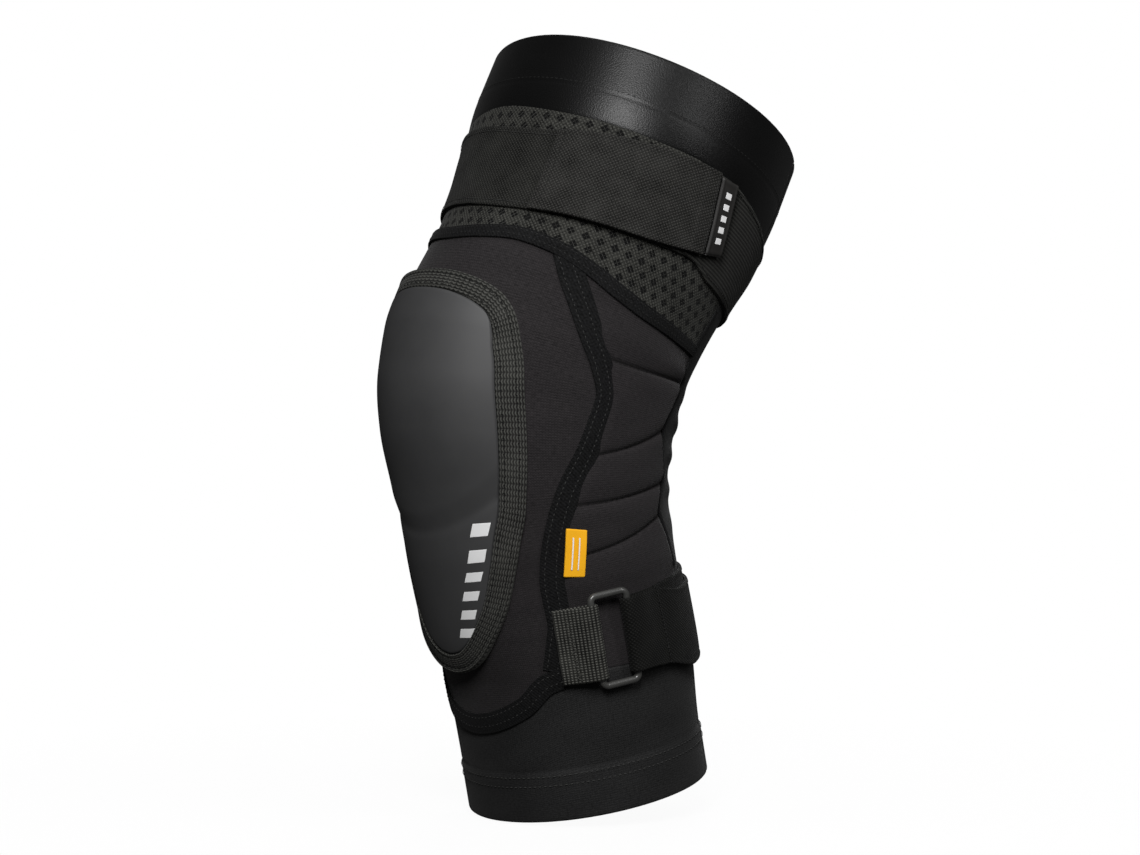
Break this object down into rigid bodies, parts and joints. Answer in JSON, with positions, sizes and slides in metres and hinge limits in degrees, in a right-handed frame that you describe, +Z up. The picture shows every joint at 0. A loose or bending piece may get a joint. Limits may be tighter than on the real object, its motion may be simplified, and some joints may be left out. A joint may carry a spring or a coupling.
{
  "type": "knee guard",
  "caption": "Pre-bent stretch knee guard with a moulded knee cap over a foam pad, quilted sides, a hooked thigh strap, a calf strap through a ring and silicone-lined cuffs.",
  "frame": {"origin": "knee centre, on the sleeve's centreline at the middle of its bend", "axes": "+Z up the leg, -Y to the front of the knee, +X to the outer side of a left leg; the flexion axis is parallel to X"},
  "size_m": [0.1523, 0.2069, 0.3531],
  "materials": {
    "smooth_elastic": "smooth brushed stretch knit, soft sheen",
    "spacer_mesh": "knitted spacer mesh with clusters of small holes",
    "face_knit": "heathered stretch knit, matt",
    "lining_knit": "smooth lining knit",
    "pad_foam": "impact foam, matt",
    "quilt_foam": "soft open-cell foam",
    "cap_rubber": "matt moulded rubber",
    "cap_binding": "ribbed woven elastic binding",
    "seam_tape": "flat stretch tape, dashed stitching",
    "strap_elastic": "ribbed woven elastic",
    "hook_tape": "hook tape",
    "pull_rubber": "matt moulded rubber",
    "webbing": "corded webbing",
    "ring_metal": "satin black coated steel",
    "silicone": "tacky silicone",
    "label": "woven label"
  },
  "bodies": {
    "calf": {"calf_cuff": "smooth_elastic", "calf_gripper": "silicone", "front_panel": "face_knit", "outer_side_panel": "face_knit", "inner_side_panel": "face_knit", "rear_panel": "smooth_elastic", "pad_lining": "lining_knit", "outer_side_lining": "lining_knit", "inner_side_lining": "lining_knit", "pad_core": "pad_foam", "outer_side_foam": "quilt_foam", "inner_side_foam": "quilt_foam", "cap_shell": "cap_rubber", "cap_binding": "cap_binding", "outer_seam_tape": "seam_tape", "inner_seam_tape": "seam_tape", "mesh_seam_tape": "seam_tape", "calf_seam_tape": "seam_tape", "outer_rear_piping": "seam_tape", "inner_rear_piping": "seam_tape", "side_label": "label", "calf_anchor_webbing": "webbing", "calf_strap": "strap_elastic", "calf_strap_turn": "strap_elastic", "calf_strap_return": "strap_elastic"},
    "thigh": {"thigh_cuff": "smooth_elastic", "thigh_gripper": "silicone", "thigh_mesh_band": "spacer_mesh", "thigh_strap_front": "strap_elastic", "thigh_strap_landing": "strap_elastic"},
    "thigh_strap_tail": {"thigh_strap_end": "strap_elastic", "thigh_hook_patch": "hook_tape", "thigh_pull_tab": "pull_rubber"},
    "strap_ring": {"calf_strap_ring": "ring_metal"},
    "calf_strap_tail": {"calf_strap_end": "strap_elastic", "calf_hook_patch": "hook_tape", "calf_pull_tab": "pull_rubber"}
  },
  "joints": [
    {"name": "knee_flex", "type": "hinge", "parent": "calf", "child": "thigh", "pos_m": [0, -0.015, 0], "axis": [-1, 0, 0], "range_deg": [-37, 55], "stiffness_Nm_per_rad": 1.5, "deforming": ["front_panel", "pad_core", "pad_lining", "cap_shell", "cap_binding", "outer_side_panel", "inner_side_panel", "outer_side_lining", "inner_side_lining", "rear_panel", "outer_side_foam", "inner_side_foam", "outer_seam_tape", "inner_seam_tape", "mesh_seam_tape", "outer_rear_piping", "inner_rear_piping", "side_label"]},
    {"name": "thigh_strap_peel", "type": "hinge", "parent": "thigh", "child": "thigh_strap_tail", "pos_m": [0.03334, -0.03432, 0.09212], "axis": [-0.0864, -0.4003, -0.9123], "range_deg": [0, 95]},
    {"name": "ring_swing", "type": "hinge", "parent": "calf", "child": "strap_ring", "pos_m": [0.05531, -0.01275, -0.09691], "axis": [0, 0.1994, -0.9799], "range_deg": [0, 20], "deforming": ["calf_strap_turn"]},
    {"name": "calf_strap_peel", "type": "hinge", "parent": "calf", "child": "calf_strap_tail", "pos_m": [0.02791, 0.06834, -0.10562], "axis": [0.021, 0.193, -0.981], "range_deg": [0, 90]}
  ]
}
